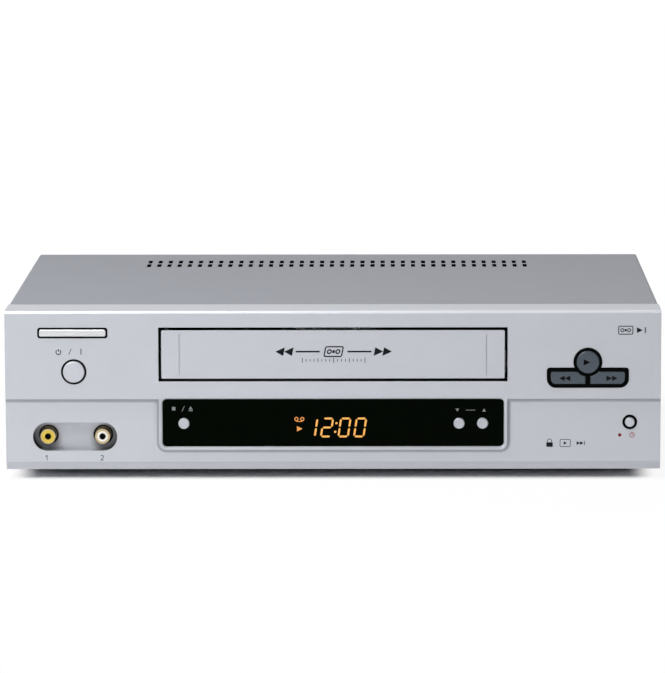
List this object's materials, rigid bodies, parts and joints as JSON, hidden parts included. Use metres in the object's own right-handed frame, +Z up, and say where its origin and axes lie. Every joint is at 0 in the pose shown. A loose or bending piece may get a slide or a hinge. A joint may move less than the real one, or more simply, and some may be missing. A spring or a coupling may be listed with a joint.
{
  "type": "video cassette recorder",
  "caption": "Front-loading video cassette recorder: silver case, hinged cassette flap, smoked display window, push buttons, front jacks, and a tape deck with cassette lift inside.",
  "frame": {"origin": "centre of the overall box at the surface that the feet stand on", "axes": "+Z up, the front faces -Y, +X to the right seen from the front"},
  "size_m": [0.36, 0.2702, 0.094],
  "materials": {
    "silver_plastic": "satin silver paint on moulded plastic",
    "cover_steel": "satin silver-grey painted sheet steel",
    "bare_steel": "zinc plated sheet",
    "black_tray": "moulded, lightly grained",
    "smoked_window": "polished dark acrylic",
    "display_glass": "dark vacuum display glass",
    "black_trim": "glossy black",
    "silver_button": "bright silver paint",
    "grey_button": "dark metallic grey paint",
    "video_gold": "gold plated, yellow insulator",
    "audio_gold": "gold plated, white insulator",
    "circuit_board": "phenolic board",
    "black_part": "moulded black",
    "transformer_steel": "varnished laminations",
    "aluminium_part": "machined or extruded",
    "steel_part": "turned steel",
    "white_nylon": "moulded acetal",
    "black_rubber": "soft rubber"
  },
  "bodies": {
    "root": {"audio_control_head": "aluminium_part", "board_screws": "steel_part", "button_surround": "black_trim", "capstan_bearing": "steel_part", "capstan_belt": "black_rubber", "chassis_tray": "black_tray", "cover_screws": "steel_part", "deck_plate": "bare_steel", "display_tube": "display_glass", "display_window": "smoked_window", "door_spring": "bare_steel", "drum_base": "aluminium_part", "feet": "black_rubber", "front_audio_jack": "audio_gold", "front_board": "circuit_board", "front_panel": "silver_plastic", "front_video_jack": "video_gold", "full_erase_head": "aluminium_part", "heat_sink": "aluminium_part", "holder_frame": "bare_steel", "integrated_circuits": "black_part", "loading_motor": "steel_part", "main_board": "circuit_board", "mains_inlet": "black_part", "power_transformer": "transformer_steel", "rear_audio_jacks": "audio_gold", "rear_panel": "bare_steel", "record_collar": "black_trim", "scart_sockets": "black_part", "smoothing_capacitors": "black_part", "tact_switches": "black_part", "top_cover": "cover_steel", "tuner_can": "bare_steel"},
    "door": {"cassette_door": "silver_plastic"},
    "standby": {"standby_button": "silver_button"},
    "play": {"play_button": "grey_button"},
    "rewind": {"rewind_button": "grey_button"},
    "forward": {"forward_button": "grey_button"},
    "record": {"record_button": "silver_button"},
    "stop": {"stop_button": "silver_button"},
    "channel_down": {"channel_down_button": "silver_button"},
    "channel_up": {"channel_up_button": "silver_button"},
    "lift_carriage": {"carriage": "bare_steel"},
    "lift_holder": {"cassette_holder": "bare_steel"},
    "lift_pinion": {"rack_pinion": "white_nylon"},
    "drum": {"head_drum": "aluminium_part"},
    "capstan_rotor": {"capstan": "steel_part"},
    "clutch": {"clutch_pulley": "white_nylon"},
    "idler": {"idler_arm": "bare_steel"},
    "idler_tyre": {"idler_wheel": "black_rubber"},
    "supply_reel": {"supply_reel_table": "white_nylon"},
    "takeup_reel": {"takeup_reel_table": "white_nylon"},
    "cam": {"cam_gear": "white_nylon"},
    "pinion": {"motor_pinion": "white_nylon"},
    "supply_post": {"supply_guide": "steel_part"},
    "takeup_post": {"takeup_guide": "steel_part"},
    "pinch": {"pinch_arm": "bare_steel"},
    "roller": {"pinch_roller": "black_rubber"},
    "tension": {"tension_arm": "bare_steel"}
  },
  "joints": [
    {"name": "door_flap", "type": "hinge", "parent": "root", "child": "door", "pos_m": [0, -0.1292, 0.086], "axis": [1, 0, 0], "range_deg": [0, 90], "stiffness_Nm_per_rad": 0.004, "springref_deg": -28.65},
    {"name": "standby_press", "type": "slide", "parent": "root", "child": "standby", "axis": [0, 1, 0], "range_m": [0, 0.0008], "stiffness_N_per_m": 800},
    {"name": "play_press", "type": "slide", "parent": "root", "child": "play", "axis": [0, 1, 0], "range_m": [0, 0.0008], "stiffness_N_per_m": 800},
    {"name": "rewind_press", "type": "slide", "parent": "root", "child": "rewind", "axis": [0, 1, 0], "range_m": [0, 0.0008], "stiffness_N_per_m": 800},
    {"name": "forward_press", "type": "slide", "parent": "root", "child": "forward", "axis": [0, 1, 0], "range_m": [0, 0.0008], "stiffness_N_per_m": 800},
    {"name": "record_press", "type": "slide", "parent": "root", "child": "record", "axis": [0, 1, 0], "range_m": [0, 0.0008], "stiffness_N_per_m": 800},
    {"name": "stop_press", "type": "slide", "parent": "root", "child": "stop", "axis": [0, 1, 0], "range_m": [0, 0.0008], "stiffness_N_per_m": 800},
    {"name": "channel_down_press", "type": "slide", "parent": "root", "child": "channel_down", "axis": [0, 1, 0], "range_m": [0, 0.0008], "stiffness_N_per_m": 800},
    {"name": "channel_up_press", "type": "slide", "parent": "root", "child": "channel_up", "axis": [0, 1, 0], "range_m": [0, 0.0008], "stiffness_N_per_m": 800},
    {"name": "lift_travel", "type": "slide", "parent": "root", "child": "lift_carriage", "axis": [0, -1, 0], "range_m": [-0.0448, 0]},
    {"name": "lift_drop", "type": "slide", "parent": "lift_carriage", "child": "lift_holder", "axis": [0, 0, 1], "range_m": [-0.0207, 0]},
    {"name": "lift_pinion_turn", "type": "hinge", "parent": "root", "child": "lift_pinion", "pos_m": [0.0984, -0.0475, 0.0369], "axis": [1, 0, 0], "range_deg": [-360, 0]},
    {"name": "drum_spin", "type": "hinge", "parent": "root", "child": "drum", "pos_m": [-0.004, 0.0431, 0.0315], "axis": [0.1028, 0, 0.9947], "continuous": true},
    {"name": "capstan_spin", "type": "hinge", "parent": "root", "child": "capstan_rotor", "pos_m": [0.052, 0.0191, 0.0255], "axis": [0, 0, 1], "continuous": true},
    {"name": "clutch_spin", "type": "hinge", "parent": "root", "child": "clutch", "pos_m": [0, -0.0329, 0.0255], "axis": [0, 0, 1], "continuous": true},
    {"name": "idler_swing", "type": "hinge", "parent": "root", "child": "idler", "pos_m": [0, -0.0329, 0.0255], "axis": [0, 0, 1], "range_deg": [-41, 41]},
    {"name": "idler_spin", "type": "hinge", "parent": "idler", "child": "idler_tyre", "pos_m": [0, -0.0549, 0.0255], "axis": [0, 0, 1], "continuous": true},
    {"name": "supply_reel_spin", "type": "hinge", "parent": "root", "child": "supply_reel", "pos_m": [-0.046, -0.0529, 0.0255], "axis": [0, 0, 1], "continuous": true},
    {"name": "takeup_reel_spin", "type": "hinge", "parent": "root", "child": "takeup_reel", "pos_m": [0.046, -0.0529, 0.0255], "axis": [0, 0, 1], "continuous": true},
    {"name": "cam_turn", "type": "hinge", "parent": "root", "child": "cam", "pos_m": [0.076, 0.0491, 0.0255], "axis": [0, 0, 1], "range_deg": [0, 150]},
    {"name": "motor_turn", "type": "hinge", "parent": "root", "child": "pinion", "pos_m": [0.05992, 0.06116, 0.0255], "axis": [0, 0, 1], "range_deg": [-605, 0]},
    {"name": "supply_post_slide", "type": "slide", "parent": "root", "child": "supply_post", "axis": [-0.2284, 0.9736, 0], "range_m": [0, 0.0657]},
    {"name": "takeup_post_slide", "type": "slide", "parent": "root", "child": "takeup_post", "axis": [0.2284, 0.9736, 0], "range_m": [0, 0.0657]},
    {"name": "pinch_swing", "type": "hinge", "parent": "root", "child": "pinch", "pos_m": [0.076, 0.0131, 0.0255], "axis": [0, 0, 1], "range_deg": [-25, 0]},
    {"name": "roller_spin", "type": "hinge", "parent": "pinch", "child": "roller", "pos_m": [0.058, 0.0021, 0.0255], "axis": [0, 0, 1], "continuous": true},
    {"name": "tension_swing", "type": "hinge", "parent": "root", "child": "tension", "pos_m": [-0.078, 0.0051, 0.0255], "axis": [0, 0, 1], "range_deg": [0, 30]}
  ],
  "couplings": [
    {"joint": "lift_pinion_turn", "follows": "lift_travel", "rad_per_m": 138.89},
    {"joint": "clutch_spin", "follows": "capstan_spin", "ratio": 0.64286},
    {"joint": "idler_spin", "follows": "capstan_spin", "ratio": -0.53436},
    {"joint": "motor_turn", "follows": "cam_turn", "ratio": -4},
    {"joint": "supply_post_slide", "follows": "cam_turn", "m_per_rad": 0.025095},
    {"joint": "takeup_post_slide", "follows": "cam_turn", "m_per_rad": 0.025095},
    {"joint": "pinch_swing", "follows": "cam_turn", "ratio": -0.1666},
    {"joint": "tension_swing", "follows": "cam_turn", "ratio": 0.1999}
  ]
}
